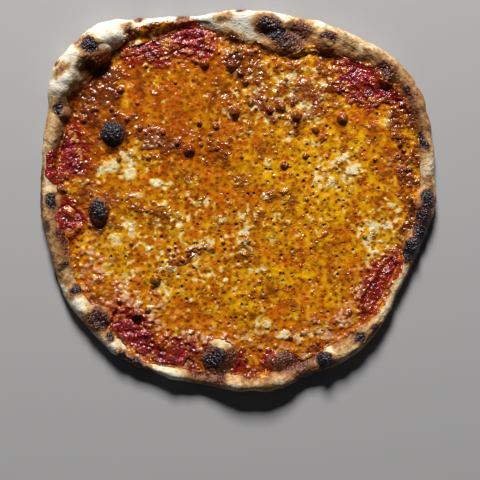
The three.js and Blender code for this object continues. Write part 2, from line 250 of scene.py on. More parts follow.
# %% The list of marks: name, place, size, slant, how far it stands out, brown, char
MARKS = [
    # name, (direction, mm from the middle), (along the rim, across it) in mm, slant, mm that it stands out,
    # brown from -1 to 1, char from 0 to 1
    ("burnt bubble in the cheese", (151.8, 111.6), (21, 21), 0, 0.5, 1.0, 1.0),
    ("burnt bubble, lower", (184.3, 109.2), (21, 25), 0, 1.9, 1.0, 0.35),
    ("burnt top of it", (183.6, 108.6), (17, 13), 0, 0.5, 1.0, 1.0),
    ("wrinkled brown, south-west", (220, 141.5), (19, 15), 0, 0.5, 1.0, 0.4),
    ("ring of the largest", (262, 124), (46, 42), 0, 0.2, 0.74, 0.0),
    ("flank of the largest", (256.5, 131), (13, 20), 0, 0.2, 0.85, 0.12),
    ("right flank of the largest", (268, 123), (9, 20), 0, 0.2, 0.8, 0.0),
    ("foot of the largest", (263, 137), (26, 9), 0, 0.2, 0.8, 0.3),
    ("black patch of the largest", (261.8, 125), (18, 13), 0, 0.4, 1.0, 0.72),
    ("black bead of the largest", (263.2, 118.5), (11, 9), 0, 0.9, 1.0, 1.0),
    ("brown, south-east", (286, 132), (30, 22), 0, 0.5, 0.66, 0.1),
    ("orange-brown tail, south", (277.5, 136), (26, 12), 0, 0.4, 0.62, 0.1),
    ("black bead, south-east", (298.5, 139.5), (13, 12), 0, 0.3, 0.85, 1.0),
    ("black, east-south-east", (312, 141), (8, 8), 0, 0.5, 0.75, 0.8),
    ("dark, east-south-east", (317, 143), (6, 5), 20, 0.3, 0.55, 0.5),
    ("small dark, south-east", (328.5, 136), (4, 4), 0, 0.3, 0.6, 0.55),
    ("burnt core, north", (77, 132.5), (14, 10), 10, 0.9, 1.0, 1.0),
    ("freckled, north", (79.5, 136), (24, 14), -15, 0.4, 0.92, 0.5),
    ("freckled, north 2", (70, 141), (20, 12), 0, 0.3, 0.7, 0.2),
    ("maroon dome, north", (72, 127), (24, 16), 0, 0.8, 1.0, 0.42),
    ("dark, north-east of it", (61.5, 144.5), (13, 6), 20, 0.6, 0.8, 0.55),
    ("grey smudge, north", (57, 151), (5, 5), 0, 0.2, 0.3, 0.4),
    ("brown, north-east", (41, 150), (18, 15), 0, 0.5, 1.0, 0.36),
    ("golden round it", (41, 155), (26, 12), 0, 0.0, 0.48, 0.0),
    ("dark, north-east", (33.5, 157), (6, 6), 0, 0.5, 0.7, 0.65),
    ("soft, north-east", (27, 154), (9, 9), 0, 0.2, 0.38, 0.12),
    ("speck, north-east 1", (46.5, 157), (4, 4), 0, 0.1, 0.5, 0.3),
    ("speck, north-east 2", (49, 153), (5, 3), 30, 0.1, 0.5, 0.3),
    ("slit, east", (18.5, 148.5), (19, 7), 20, -0.5, 0.85, 0.9),
    ("small brown, east", (6.5, 147), (5, 5), 0, 0.2, 0.55, 0.2),
    ("burnt band, east", (350.5, 143.5), (62, 11), 0, 0.0, 0.95, 0.5),
    ("burnt chain, east, 1", (0.5, 146.5), (14, 10), 0, 0.8, 1.0, 1.0),
    ("burnt chain, east, 2", (355.5, 143), (10, 8), 0, 0.9, 1.0, 0.95),
    ("burnt chain, east, 3", (350.3, 143), (12, 8), 0, 0.7, 1.0, 1.0),
    ("burnt chain, east, 4", (345, 138), (15, 11), 0, 0.9, 1.0, 1.0),
    ("burnt chain, east, 5", (341, 138), (6, 6), 0, 0.4, 0.9, 0.8),
    ("pillow, north-west 1", (129.8, 165), (40, 22), -4, 2.4, -0.5, 0.0),
    ("pillow, north-west 2", (143.5, 167), (38, 20), 4, 2.2, -0.2, 0.0),
    ("pillow, west", (160, 153), (26, 13), 6, 1.4, -0.45, 0.0),
    ("cream ridge, west", (176.2, 138), (7, 22), 12, 1.0, -0.8, 0.0),
    ("cream, south-west", (214.5, 145.5), (11, 10), 0, 0.6, -0.7, 0.0),
    ("cream, south-west 2", (230, 149), (5, 12), 0, 0.5, -0.7, 0.0),
    ("cream ridge along the rim", (246.5, 143), (24, 7), -14, 0.8, -0.9, 0.0),
    # Paler dough on the north side of the largest blister, painted lighter where it faces the lamp
    ("pale top of the largest, painted lit", (263, 108.5), (16, 9), 0, 0.5, -0.9, 0.0),
    ("cream, south", (268.7, 139), (10, 14), 0, 0.4, -0.6, 0.0),
    ("pillow, south", (279, 143), (44, 9), 0, 0.7, -0.4, 0.0),
    ("white, south-east", (302, 134), (5, 6), 0, 0.5, -1.0, 0.0),
    ("cream, east-south-east", (322, 141), (26, 7), 0, 0.5, -0.5, 0.0),
    ("cream, east", (11, 147), (17, 9), 0, 0.5, -0.5, 0.0),
    ("saddle, north-west", (133.7, 165), (12, 16), 22, -1.4, 1.0, 0.7),
    ("crest of the saddle", (135, 174), (6, 8), 0, -1.0, 0.7, 0.2),
    # Partly painted shade: its brown darkens the inner slope below the north-west pillow, where the pillow's
    # shadow falls
    ("tail of the saddle, with painted shade", (136, 154), (22, 16), 20, -0.8, 0.8, 0.15),
    ("smudge, north-west", (143.5, 168), (11, 6), -10, 0.1, 0.6, 0.4),
    ("bump at the edge, north-west", (143, 176), (4, 3), 0, 0.5, 0.7, 0.45),
    ("black, west-north-west", (153.5, 154.5), (9, 8), 0, 0.5, 0.8, 0.9),
    ("brown lump, west", (153, 138), (9, 8), 0, 0.6, 0.62, 0.2),
    ("specks, west", (161, 150), (7, 4), 0, 0.1, 0.4, 0.3),
    ("dark, west", (166.5, 144), (5, 6), 0, 0.3, 0.8, 0.55),
    ("edge, west", (178, 154.5), (60, 6), 0, 0.0, 0.75, 0.15),
    ("dark ridge, west", (180.5, 144), (15, 6), 10, 0.5, 0.75, 0.75),
    ("dark, west, lower", (187.5, 148.5), (7, 6), 0, 0.3, 0.6, 0.55),
    ("tan, west", (195, 146), (30, 11), 0, 0.4, 0.36, 0.0),
    ("dark, west-south-west", (200, 144), (6, 7), 0, 0.4, 0.75, 0.65),
    ("grey, west-south-west", (203, 149), (5, 4), 0, 0.1, 0.45, 0.35),
    ("brown, west-south-west", (205, 145.5), (5, 6), 0, 0.3, 0.5, 0.15),
    ("grey-brown wedge", (209, 143), (8, 12), 0, 0.4, 0.75, 0.7),
    ("black, south-west", (226.5, 144), (7, 7), 0, 0.4, 0.75, 0.85),
    ("dark, south-west 1", (232.8, 150), (6, 8), 0, 0.2, 0.7, 0.75),
    ("dark, south-west 2", (237.5, 147.5), (14, 7), -8, 0.3, 0.8, 0.6),
    ("dark, south-west 3", (242, 146.5), (7, 4), 0, 0.2, 0.75, 0.4),
    ("grey-brown, north", (95, 142.5), (12, 7), 0, 0.2, 0.42, 0.4),
    ("dark line, north", (92, 127.5), (7, 4), 0, 0.2, 0.8, 0.5),
    ("dark line, north 2", (98, 128.5), (9, 4), 0, 0.2, 0.8, 0.5),
    ("dark, north rim", (89, 148), (5, 3), 0, 0.2, 0.6, 0.5),
    ("brown smear, north", (107, 148), (7, 3), 0, 0.3, 0.7, 0.35),
    ("brown lump, north-west 1", (118.5, 160.5), (5, 4), 0, 0.7, 0.8, 0.35),
    ("brown lump, north-west 2", (122.5, 158), (6, 5), 0, 0.7, 0.8, 0.35),
]
PLACED = [
    (on_rim_at(*where), size, where[0] + 90 + slant, height, brown, char)
    for name, where, size, slant, height, brown, char in MARKS
]
black = [name for name, *_, char in MARKS if char >= 0.9]
print(f"{len(MARKS)} marks on the dough, and burnt black are: {'; '.join(black)}")

# %% Push the relief out of the skin
WANDER = 2.2  # mm that the outline of a mark strays from its oval
PUFFS = [(1.5, 24, 2), (0.7, 10, 3)]  # mm high, mm apart, seed
GRAIN = (0.12, 0.3)  # mm of grain everywhere, and more where a blister wrinkled
WRINKLE = 3.2  # mm between the wrinkles of a burnt blister
FOLD_LENGTH = 26  # mm that count for one radian of the rim, which is really 145 mm: folds run along the rim
# Where the dough lay in folds: (x, y) in mm, (long, across) in mm, turn in degrees, mm deep
CREASES = [((98, -114), (70, 26), 38, 0.75), ((78, 118), (60, 22), -40, 0.5), ((-136, -50), (20, 40), 0, 0.35)]
# Ridges and dips that run with the rim: direction and spread in degrees, how far up the rim they lie and how
# wide they are as shares of it, height in mm
RIDGES = [((78, 34), 0.88, 0.16, 1.6), ((78, 34), 0.55, 0.15, -0.8), ((62, 44), 0.18, 0.2, 1.8)]

skin = points_of(crust)
out = normals_of(crust)
share = rim_share(skin)
above_table = step(0.6, 4.0, skin[:, 2])
visible = np.where((skin[:, 2] < BASE_TOP) & (share < -0.12), 0, above_table)
wavy = strayed(skin, WANDER, 7, first_seed=20, octaves=2)
raised = np.zeros(len(skin))
wrinkled = np.zeros(len(skin))
for at, size, turn, height, brown, char in PLACED:
    here = spot(wavy, at, size, turn)
    raised += height * here
    wrinkled = np.maximum(wrinkled, here * (0.35 + 0.65 * char) * (brown > 0.7))
puffs = sum(height * rough(skin, size, seed, octaves=2) for height, size, seed in PUFFS)
grain = (GRAIN[0] + GRAIN[1] * wrinkled) * rough(skin, 2.6, seed=4)

along_rim = np.stack([radius_of(skin), np.radians(angle_of(skin)) * FOLD_LENGTH, skin[:, 2]], 1)
folds = np.abs(rough(along_rim, 4.5, seed=23, octaves=2))
# Folds are ridges with sharp valleys, which the absolute value of smooth noise gives
creased = sum(depth * spot(skin, at, size, turn) for at, size, turn, depth in CREASES)
relief = raised + puffs + grain + creased * (0.6 - 2 * folds)
for (direction, spread), middle, width, height in RIDGES:
    relief += towards(skin, [(direction, spread, height)]) * np.exp(-(((share - middle) / width) ** 2))
wrinkle, seam = cells(skin, WRINKLE, seed=1)
relief += wrinkled * (0.5 * (0.5 - wrinkle) + 0.25 * step(0, 0.4, seam))
place_points(crust, skin + out * (relief * visible)[:, None])
print(f"relief of the crust: {relief.min():.1f} to {relief.max():.1f} mm")

# %% The flat parts need no small squares
def keep_fine(piece, wanted):
    """Deletes the faces with no wanted point, and closes each opening that this leaves with large flat faces.

    Where the opening is pinched, the fill can lay two faces on the same three points. Such flaps go too.
    """
    mesh = bmesh.new()
    mesh.from_mesh(piece.data)
    mesh.verts.ensure_lookup_table()
    plain = [face for face in mesh.faces if not any(wanted[v.index] for v in face.verts)]
    bmesh.ops.delete(mesh, geom=plain, context="FACES")
    bmesh.ops.holes_fill(mesh, edges=[e for e in mesh.edges if e.is_boundary], sides=0)
    bmesh.ops.triangulate(mesh, faces=mesh.faces[:])
    twins = {}
    for face in mesh.faces:
        twins.setdefault(frozenset(face.verts), []).append(face)
    flaps = [face for same in twins.values() if len(same) > 1 for face in same]
    bmesh.ops.delete(mesh, geom=flaps, context="FACES")
    mesh.to_mesh(piece.data)
    mesh.free()


keep_fine(crust, visible > 0)
crust.data.shade_smooth()
print(f"crust: {len(crust.data.polygons)} triangles")

# %% Where the crust is brown, charred, floury and oily, and where light and shade are painted on it
HALO = 2.5  # mm of brown outside a burnt spot, all in all
WARM_FOOT = 0.28  # how brown the foot of the rim is, next to the hot toppings
WARM_PATCHES = 0.24  # how much the brown varies from patch to patch
UNDERSIDE_BROWN = 0.62  # how brown the hot stone made the underside
# Partly tan where the flame reached, partly painted light and shade: paler at the north and north-west,
# which face the lamp, darker at the south, which turns from it: direction and spread in degrees, strength
TAN_AND_PAINTED_LIGHT_BY_DIRECTION = [
    (24, 14, 0.3), (52, 24, 0.2), (90, 12, -0.2), (131, 14, -0.25), (157, 12, 0.12),
    (176, 26, 0.2), (196, 11, 0.26), (224, 16, -0.14), (280, 18, 0.36), (312, 24, 0.26),
]
# More of the rim is floury in these directions, partly painted light that whitens the north and north-west
# side facing the lamp: direction and spread in degrees, share of the rim
FLOUR_AND_PAINTED_LIGHT_BY_DIRECTION = [(94, 14, 0.4), (130, 15, 0.45), (150, 8, 0.2), (226, 14, 0.3), (262, 14, 0.2)]
# Oil soaked the foot of the rim most in these directions: direction and spread in degrees, strength
OIL_BY_DIRECTION = [
    (48, 16, 0.75), (70, 10, 0.5), (90, 10, 0.3), (137, 13, 0.75), (182, 12, 0.3), (352, 14, 0.5),
]

skin = points_of(crust)
share = rim_share(skin)
wavy = strayed(skin, WANDER, 6, first_seed=24)
brown = np.zeros(len(skin))
char = np.zeros(len(skin))
pale = np.zeros(len(skin))
for at, size, turn, height, browned, charred in PLACED:
    here = spot(wavy, at, (size[0] + HALO, size[1] + HALO), turn)
    brown = np.maximum(brown, browned * here)
    pale = np.maximum(pale, -browned * here)
    char = np.maximum(char, charred * spot(wavy, at, size, turn, soft=0.45))
tan_and_painted_light = WARM_FOOT * (1 - step(0.25, 0.8, share)) + WARM_PATCHES * rough(skin, 18, seed=5, octaves=2)
# Tan by direction, with painted light on the north side and painted shade on the south side
tan_and_painted_light += towards(skin, TAN_AND_PAINTED_LIGHT_BY_DIRECTION)
underneath = 1 - step(1.5, 5, skin[:, 2])
brown = np.maximum(brown, np.maximum(tan_and_painted_light, UNDERSIDE_BROWN * underneath)) * (1 - pale * (char < 0.4))
# Flour, with painted light: toward the north and north-west more of the rim is whitened
flour_and_painted_light = share + 0.25 * rough(skin, 16, seed=6, octaves=2) + towards(skin, FLOUR_AND_PAINTED_LIGHT_BY_DIRECTION)
oil = (1 - step(0.14, 0.62, share + 0.2 * rough(skin, 9, seed=7, octaves=2))) * (1 - pale)
mark(crust, "brown", brown)
mark(crust, "char", char)
mark(crust, "flour_and_painted_light", step(0.55, 0.95, flour_and_painted_light) * (1 - underneath))
mark(crust, "oil", oil * (0.25 + towards(skin, OIL_BY_DIRECTION)))
print(f"{(brown > 0.5).mean():.0%} of the crust is brown and {(char > 0.5).mean():.0%} is charred")

# %% [markdown]
# ## The layers on the dough
#
# Tomato and cheese are sheets that lie on what is below them, so both start as a flat grid that is dropped
# onto the pizza. Cloth simulation could do that, but these sheets flowed while they baked: they fill up to a
# level, thin out at their edges and climb the rim as a film. A rule for the height says that directly.


# %% Drop a grid of points onto the pizza
DROP_FROM = 60  # mm above the table, higher than anything on it


def tree_of(piece):
    """A search tree that tells quickly where a ray meets the piece."""
    return bvhtree.BVHTree.FromObject(piece, bpy.context.evaluated_depsgraph_get())


def height_over(tree, points):
    """The height in mm of what lies under each point, or nan where nothing does."""
    down = Vector((0, 0, -1))
    hits = [tree.ray_cast(Vector((x * MM, y * MM, DROP_FROM * MM)), down)[0] for x, y in points[:, :2]]
    return np.array([np.nan if hit is None else hit.z / MM for hit in hits])


def grid_piece(name, spacing):
    """A flat square grid a little wider than the pizza, with the place of each point in its rows."""
    half = float(outline.max())
    count = int(2 * half / spacing)
    bpy.ops.object.select_all(action="DESELECT")
    bpy.ops.mesh.primitive_grid_add(x_subdivisions=count, y_subdivisions=count, size=2 * half * MM)
    piece = bpy.context.object
    piece.name = piece.data.name = name
    points = points_of(piece)
    column, row = (np.round((points[:, k] + half) / (2 * half / count)).astype(int) for k in (0, 1))
    piece.select_set(False)
    return piece, points, row, column


def smoothed(values, row, column, times):
    """Evens out the values on a grid, each with its four neighbours. Missing ones (nan) stay missing."""
    sheet = np.full((row.max() + 3, column.max() + 3), np.nan)
    sheet[row + 1, column + 1] = values
    known = ~np.isnan(sheet)
    for _ in range(times):
        around = np.stack([sheet, *(np.roll(sheet, way, axis) for axis in (0, 1) for way in (-1, 1))])
        with np.errstate(all="ignore"):
            sheet = np.where(known, np.nansum(around, 0) / np.maximum((~np.isnan(around)).sum(0), 1), np.nan)
    return sheet[row + 1, column + 1]


def distance_to(points, targets):
    """How far in mm each point is from the nearest target, seen from above."""
    tree = kdtree.KDTree(len(targets))
    for index, (x, y) in enumerate(targets):
        tree.insert((x, y, 0), index)
    tree.balance()
    return np.array([tree.find((x, y, 0))[2] for x, y in points[:, :2]])


def edge_of(hit, row, column):
    """The points that were hit and have a neighbour that was not."""
    sheet = np.zeros((row.max() + 3, column.max() + 3), bool)
    sheet[row + 1, column + 1] = hit
    inner = sheet.copy()
    for axis in (0, 1):
        for way in (-1, 1):
            inner &= np.roll(sheet, way, axis)
    return hit & ~inner[row + 1, column + 1]


def soft_max(a, b, reach):
    """The larger of two heights, with a fillet of about the reach where they cross."""
    blend = np.clip(0.5 + 0.5 * (a - b) / reach, 0, 1)
    return b + (a - b) * blend + reach * blend * (1 - blend)


def close_below(piece, kept, level):
    """Keeps the wanted points of a grid, gives it a wall down to the level and a flat face below."""
    mesh = bmesh.new()
    mesh.from_mesh(piece.data)
    mesh.verts.ensure_lookup_table()
    bmesh.ops.delete(mesh, geom=[v for v in mesh.verts if not kept[v.index]], context="VERTS")
    bmesh.ops.delete(mesh, geom=[v for v in mesh.verts if not v.link_faces], context="VERTS")
    rim = [e for e in mesh.edges if e.is_boundary]
    walls = bmesh.ops.extrude_edge_only(mesh, edges=rim)["geom"]
    for v in (g for g in walls if isinstance(g, bmesh.types.BMVert)):
        v.co.z = level * MM
    bmesh.ops.holes_fill(mesh, edges=[e for e in mesh.edges if e.is_boundary], sides=0)
    bmesh.ops.recalc_face_normals(mesh, faces=mesh.faces[:])
    bmesh.ops.triangulate(mesh, faces=mesh.faces[:])
    mesh.to_mesh(piece.data)
    mesh.free()
    piece.data.shade_smooth()


crust_tree = tree_of(crust)

# %% How far toppings go
HIGHEST = 17  # mm above the table, above which no topping lies
HIGHEST_SHARE = 0.8  # of the rim, as far as any topping climbs it
SUNK = 3  # mm that a film is lowered to end it on a blister that stands up through the toppings
SINKING = 1.2  # mm of height over which it sinks


def may_lie(points, dough_level):
    """Where a topping can lie: not on the crest of the rim, and not beyond it."""
    return (dough_level < HIGHEST) & (rim_share(points) < HIGHEST_SHARE)


def off_blisters(points, dough_level, climb):
    """How much in mm a film is lowered on a blister inside the rim, above the height that it may climb."""
    well_inside = rim_share(points) < -0.25
    return SUNK * step(climb, climb + SINKING, dough_level) * well_inside


# %% [markdown]
# ## The tomato
#
# Crushed tomato is coarse: shreds of pulp lie in their own juice. It shows in seven bare places at the foot
# of the rim, where it is mounded to about the level of the cheese, and lies flat and hidden elsewhere. Its
# relief is made of stretched ridges, like shreds that a spoon has drawn round the pizza.

# %% Where the tomato lies
TOMATO_SPACING = 1.05  # mm between the points of its grid
BARE_FADE = (1.5, 9)  # mm from a bare place, over which the mounds sink to the flat part
# Where the tomato spilled over the rim: direction and spread in degrees, mm further than elsewhere
TOMATO_CLIMBS = [(107, 5, 6), (169, 5, 11), (186, 3, 4), (43, 6, 3), (324, 6, 4), (337, 4, 4)]

tomato, at, row, column = grid_piece("crushed_tomato", TOMATO_SPACING)
level = height_over(tree_of(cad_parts["tomato_sauce"]), at)
covered = height_over(tree_of(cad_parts["melted_cheese"]), at)
inside = ~np.isnan(level)
window = inside & np.isnan(covered) & (by_direction(topping_edge, at) - radius_of(at) > 2)
bare = (1 - step(*BARE_FADE, distance_to(at, at[window][:, :2]))) * inside
edge = distance_to(at, at[edge_of(inside, row, column)][:, :2]) * np.where(inside, 1, -1)
spill = edge + towards(at, TOMATO_CLIMBS)
dough_level = np.nan_to_num(height_over(crust_tree, at))
print(f"tomato: bare at {window.sum()} of {inside.sum()} points")

# %% Shape the tomato
SHRED_ACROSS = 2.4  # times narrower than a plain lump
SHRED_ALONG = 55  # mm that count for one radian round the pizza, which is really 125 mm
SHRED_HEIGHT = 1.1  # mm
LUMP_HEIGHT = 1.3  # mm
BELOW_CHEESE = 0.7  # mm from the level of the cheese down to the level that the mounds vary about
TOMATO_FILM = 0.6  # mm of tomato on the dough where it climbs the rim
TOMATO_UNDER = 0.9  # mm under the dough's skin, where the film has ended

drawn = np.stack([edge * SHRED_ACROSS, np.radians(angle_of(at)) * SHRED_ALONG, np.zeros(len(at))], 1)
shreds = 1 - np.abs(rough(drawn, 9, seed=8)) * 2
lumps = rough(at, 8, seed=9)
mounded = np.nanmedian(covered) - BELOW_CHEESE + SHRED_HEIGHT * shreds + LUMP_HEIGHT * lumps
film = (TOMATO_FILM + TOMATO_UNDER) * step(-2.5, 1.0, spill + 1.5 * rough(at, 7, seed=10))
film += dough_level - TOMATO_UNDER - off_blisters(at, dough_level, 6.0)
bed = np.where(inside, smoothed(level, row, column, 3), np.nanmedian(level))
bed += bare * np.maximum(mounded - bed, 0)
tomato_height = np.where(bare > 0.02, soft_max(bed, film, 0.8), np.where(inside, level, film))
place_points(tomato, np.column_stack([at[:, :2], tomato_height]))
print(f"tomato mounds: up to {bed[window].max():.1f} mm above the table")

# %% Where oil and cheese ran into the tomato
# The oily patch between two bare places: (x, y) in mm, (long, across) in mm, turn in degrees
OILY_GAP = ((-54, 119), (36, 15), 114)
TOMATO_CUT = -2.8  # mm outside its edge, where the sheet is cut, well under the dough's skin

under_cheese = at[edge_of(~np.isnan(covered), row, column)][:, :2]
smeared = np.maximum.reduce([
    1 - step(-2, 6, distance_to(at, under_cheese) + 5.0 * rough(at, 6, seed=33)),
    0.8 - 0.8 * step(-1.5, 4, spill + 2.0 * rough(at, 5, seed=34)),
    spot(at, *OILY_GAP) * (0.64 + 0.3 * rough(at, 6, seed=38)),
])
mark(tomato, "smeared", smeared)
kept = inside | ((spill > TOMATO_CUT) & may_lie(at, dough_level))
close_below(tomato, kept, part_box("tomato_sauce")[0].z / MM)
print(f"tomato: {len(tomato.data.polygons)} triangles")

# %% [markdown]
# ## The cheese
#
# Mozzarella melts to a level sheet, then boils: steam leaves a pit where it broke through, and a brown
# bubble where the skin held. Near the bare tomato the sheet thins out. Every zone of the surface is named
# once, with its place and size, because the colours as well as the relief follow the same zones.

# %% Zones of the cheese
# Each zone: (x, y) in mm, (long, across) in mm, turn in degrees, strength
ZONES = {
    "yellow": [
        ((-88, 22), (60, 36), 10, 0.5),
        ((-84, -30), (80, 50), 0, 0.7),
        ((-49, -38), (90, 70), 0, 0.5),
        ((71, 28), (115, 66), 5, 0.75),
        ((114, -26), (46, 40), 0, 1.0),
        ((36, 80), (90, 60), 0, 0.6),
        ((10, -60), (60, 60), 0, 0.3),
    ],
    "cream": [
        ((-95, 25.6), (52, 24), 12, 0.84),
        ((-62, 13), (14, 9), 0, 0.8),
        ((-49, -38), (100, 78), 0, 0.72),
        ((2, -25), (60, 50), 0, 0.6),
        ((36, 80), (85, 55), 10, 0.82),
        ((71, 20), (60, 44), 20, 0.6),
        ((114, -26), (44, 38), 0, 1.0),
        ((92, 96), (30, 12), -40, 0.5),
        ((-80, 127), (36, 14), -20, 0.9),
        ((20, -93), (30, 34), 0, 0.6),
        ((45, -104), (40, 14), 10, 0.6),
        ((-108, -50), (40, 26), 0, 0.4),
    ],
    "deep": [
        ((-45, 72), (120, 90), 0, 0.9),
        ((-20, 20), (70, 80), 0, 0.35),
        ((-100, 60), (60, 80), 0, 0.9),
        # Painted shade: this oval darkens the cheese at the foot of the north-west rim, where the rim's shadow
        # falls
        ((-118, 92), (50, 56), 0, 1.0),
        ((-80, 0), (90, 80), 0, 0.6),
        ((38, 86), (70, 50), 0, 0.55),
    ],
    "pits": [
        ((25, -50), (170, 140), 0, 1.0),
        ((85, 20), (90, 90), 0, 0.7),
        ((-55, -35), (90, 90), 0, 0.65),
        ((-60, 60), (60, 50), 0, 0.2),
    ],
    "brown": [
        # Partly browning, partly painted shade: this oval darkens the cheese at the foot of the north-west rim
        ((-119, 90), (50, 66), -20, 1.1),
        ((-96, 82), (26, 12), -60, 0.9),
        ((-66, 50), (52, 12), -28, 0.9),
        ((4, 106), (32, 30), 0, 0.85),
        ((38, 83), (80, 50), 0, 0.58),
        ((72, 88), (40, 20), 25, 0.75),
        ((130, 33), (12, 60), 5, 0.85),
        ((124, 62), (16, 34), 20, 0.8),
        ((-22, 44), (40, 26), 0, 0.5),
        ((46, 12), (24, 6), 12, 0.6),
        ((-69, -6), (40, 16), -10, 0.5),
        ((-70, 36), (30, 12), -20, 0.5),
        ((-42, -44), (50, 8), 20, 0.6),
        ((-70, -100), (60, 14), -20, 0.4),
        ((70, -112), (40, 8), 20, 0.5),
        ((-108, 60), (50, 40), 30, 0.55),
        ((-120, 20), (26, 40), 0, 0.6),
        ((-40, -112), (60, 8), 10, 0.4),
        ((-60, 112), (90, 10), 4, 0.7),
    ],
    "rosy": [
        ((-78, -84), (96, 34), -38, 1.0),
        ((-112, -52), (30, 60), 10, 0.85),
        ((-20, -106), (100, 20), 6, 0.9),
        ((62, -102), (90, 24), 22, 1.0),
        ((104, -62), (26, 60), -28, 0.8),
        ((38, 84), (70, 56), 10, 0.65),
        ((-66, 50), (60, 14), -28, 0.8),
        ((118, 40), (20, 60), 8, 0.5),
        ((-108, 92), (30, 50), -20, 0.4),
        ((-60, -40), (60, 10), -20, 0.5),
        ((-110, 0), (26, 50), 0, 0.6),
    ],
}


def zone(points, name):
    """How strongly a zone acts at each point: the strongest of its ovals."""
    ovals = [strength * spot(points, at, size, turn, soft=0.8) for at, size, turn, strength in ZONES[name]]
    return np.max(ovals, axis=0)


print(f"{sum(len(ovals) for ovals in ZONES.values())} ovals in {len(ZONES)} zones")

# %% Bubbles and curds that have a place of their own
# Bubbles of the skin that held: (x, y) in mm and size in mm
BUBBLES = [
    ((-38, 39.5), 9.5), ((81, 64), 9), ((-5.5, 105), 9), ((33, 73), 8.5), ((45, 66), 8.5), ((-3, 69), 9),
    ((24.5, 70.5), 7), ((-64, -61), 9), ((-79, -89), 9), ((-26, 106), 8), ((60, 55), 6), ((-17, 58), 6),
    ((10, 76), 6), ((52, 35), 5.5), ((-30, 60), 5), ((36, 28), 7), ((-120, 62), 5), ((-91, 86), 6),
    ((2, 99), 6), ((6, 92), 5), ((-86, 63), 4.5), ((-76, 56), 5), ((-58, 53), 5), ((-47, 45), 5),
    ((-66, -66), 4), ((-92, -78), 5), ((-70, -84), 5), ((-84, -97), 5),
]
# Bits of curd that stayed pale: (x, y) in mm, (long, across) in mm, turn in degrees, how white
CURDS = [
    ((88.7, 24.4), (9, 8), 0, 1.0), ((71.7, 14.7), (6, 7), 0, 0.8), ((83, 34), (9, 5), 25, 0.7),
    ((23.6, 29.4), (5, 8), 10, 0.55), ((42.3, 80.3), (10, 6), -15, 0.8), ((115, 60.6), (11, 6), 10, 0.5),
    ((-62.8, 13.6), (10, 6.5), 0, 0.85), ((-94.8, -30), (11, 10), 0, 0.5), ((-82.3, -23.1), (7, 10), 0, 0.65),
    ((-102, -51), (8, 5), 0, 0.5), ((34, -104), (12, 6), 10, 0.85), ((21.5, -94.7), (9, 9), 0, 0.5),
    ((-98, 27), (14, 10), 20, 0.6), ((-84, 36), (16, 8), 50, 0.45), ((-84, 22), (10, 11), 0, 0.7),
    ((-79, 4), (18, 6), 10, 0.4), ((40, 62), (12, 4), 40, 0.5), ((-32, -2), (6, 5), 0, 0.5),
    ((-57, -2), (5, 6), 0, 0.5), ((52, 46), (6, 4), 0, 0.5), ((56, -14), (7, 5), 0, 0.4),
    ((-80, 122), (13, 6), -20, 0.7),
]
print(f"{len(BUBBLES)} bubbles and {len(CURDS)} curds are placed by hand")

# %% Where the cheese lies
CHEESE_SPACING = 0.8  # mm between the points of its grid
BLISTER_TOP = 4.6  # mm above the table: dough that is higher inside the rim is a blister
# Where the cheese spilled over the rim: direction and spread in degrees, mm further than elsewhere
CHEESE_CLIMBS = [
    (117, 8, 12), (147, 4, 8), (133, 6, 3), (63, 5, 4), (43, 7, 2), (168, 4, 6),
    (237, 5, 3), (277, 6, 4), (287, 5, 2), (310, 6, 3), (322, 6, 4), (338, 4, 4),
]

cheese, at, row, column = grid_piece("melted_mozzarella", CHEESE_SPACING)
level = height_over(tree_of(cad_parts["melted_cheese"]), at)
inside = ~np.isnan(level)
dough_level = np.nan_to_num(height_over(crust_tree, at))
tomato_level = height_over(tree_of(tomato), at)
border = edge_of(inside, row, column)
on_rim = rim_share(at) > 0.03
on_blister = (dough_level > BLISTER_TOP) & (rim_share(at) < -0.3)
window_border = border & ~on_rim & (distance_to(at, at[on_blister][:, :2]) > 3)
outside_window = ~inside & ~on_rim & ~on_blister
from_window = distance_to(at, at[window_border][:, :2]) * np.where(outside_window, -1, 1)
beyond = radius_of(at) - by_direction(topping_edge, at)
spilled = np.where(beyond > -1, towards(at, CHEESE_CLIMBS) - beyond, -9)
to_edge = np.maximum(distance_to(at, at[border][:, :2]) * np.where(inside, 1, -1), spilled)
wobble = 5.5 * rough(at, 11, seed=11) + 4.5 * rough(at, 4, seed=12)
print(f"cheese: lies on {inside.sum()} points, {window_border.sum()} of them next to bare tomato")

# %% Zones with wavy outlines
ROAM = 9.0  # mm that the outline of a zone strays from its ovals

roamed = strayed(at, (ROAM, ROAM, 0), 16, first_seed=35)
zones = {name: zone(roamed, name) for name in ZONES}
print("zones:", {name: f"{(amount > 0.5).mean():.0%}" for name, amount in zones.items()})

# %% Bubbles whose skin held
SMALL_BUBBLES = 130
SMALL_BUBBLE_SIZES = (2.2, 4.2)  # mm
DOME = 0.36  # height of a bubble as a share of its size
DRAW_SEED = 31

# Small ones crowd where the skin browned and next to the bare tomato
draw = np.random.default_rng(DRAW_SEED)
crowd = np.clip(0.02 + 0.4 * zone(at, "brown") + 0.6 * (1 - step(2, 12, from_window)), 0, 1) * inside
chance = crowd / crowd.sum()
picked = draw.choice(len(at), SMALL_BUBBLES, replace=False, p=chance)
small_sizes = draw.uniform(*SMALL_BUBBLE_SIZES, SMALL_BUBBLES)
bubbles = BUBBLES + [(tuple(at[k, :2]), size) for k, size in zip(picked, small_sizes)]
dome = np.zeros(len(at))
for (x, y), size in bubbles:
    away = np.hypot(at[:, 0] - x, at[:, 1] - y) / (0.5 * size)
    dome = np.maximum(dome, DOME * size * np.clip(1 - away**2, 0, 1) ** 0.7)
print(f"{len(bubbles)} bubbles, the highest {dome.max():.1f} mm")

